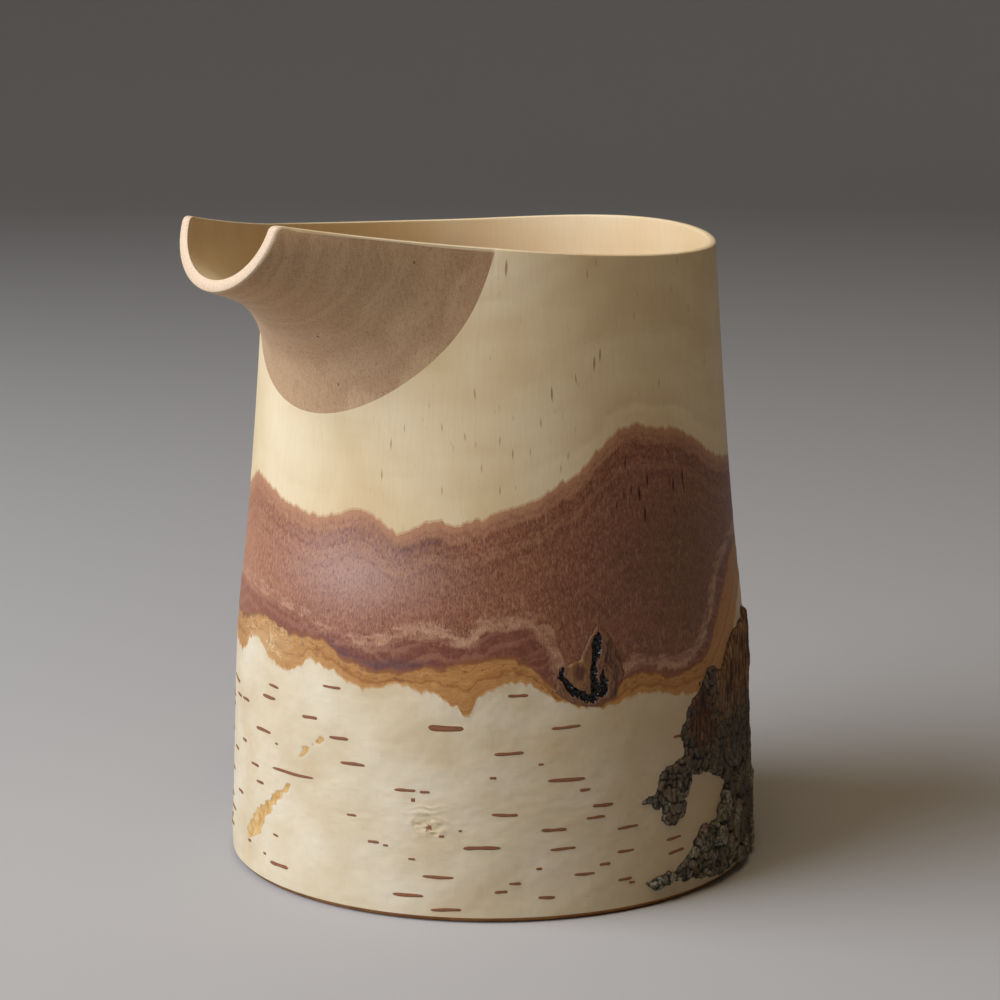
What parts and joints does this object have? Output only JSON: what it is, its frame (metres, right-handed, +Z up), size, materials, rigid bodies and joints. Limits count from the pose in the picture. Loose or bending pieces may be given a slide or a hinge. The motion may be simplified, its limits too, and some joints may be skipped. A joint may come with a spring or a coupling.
{
  "type": "spouted birch log jug",
  "caption": "Tapered birch-log jug with a carved pouring spout, bark layers left on round the foot, and a fitted bottom board.",
  "frame": {"origin": "on the floor, at the middle of the jug's length and width", "axes": "+Z up out of the mouth; the spout points along -X; +Y completes the right-handed frame"},
  "size_m": [0.1691, 0.1457, 0.1806],
  "materials": {
    "birch_sapwood": "sanded and oiled, satin",
    "birch_board": "planed and oiled, satin",
    "inner_bark": "cut and oiled red-brown inner bark, satin",
    "cork_layer": "cut orange-brown cork layer, satin",
    "white_bark": "natural papery birch bark with brown lenticels",
    "resinous_knot": "dark cut branch knot, partly glossy",
    "rough_bark": "fissured grey-black old bark, matt"
  },
  "bodies": {
    "root": {"jug_wall": "birch_sapwood", "bottom_board": "birch_board", "inner_bark": "inner_bark", "cork_layer": "cork_layer", "white_bark": "white_bark", "branch_knot": "resinous_knot", "rough_bark_upper": "rough_bark", "rough_bark_left": "rough_bark", "rough_bark_lower": "rough_bark"}
  },
  "joints": []
}
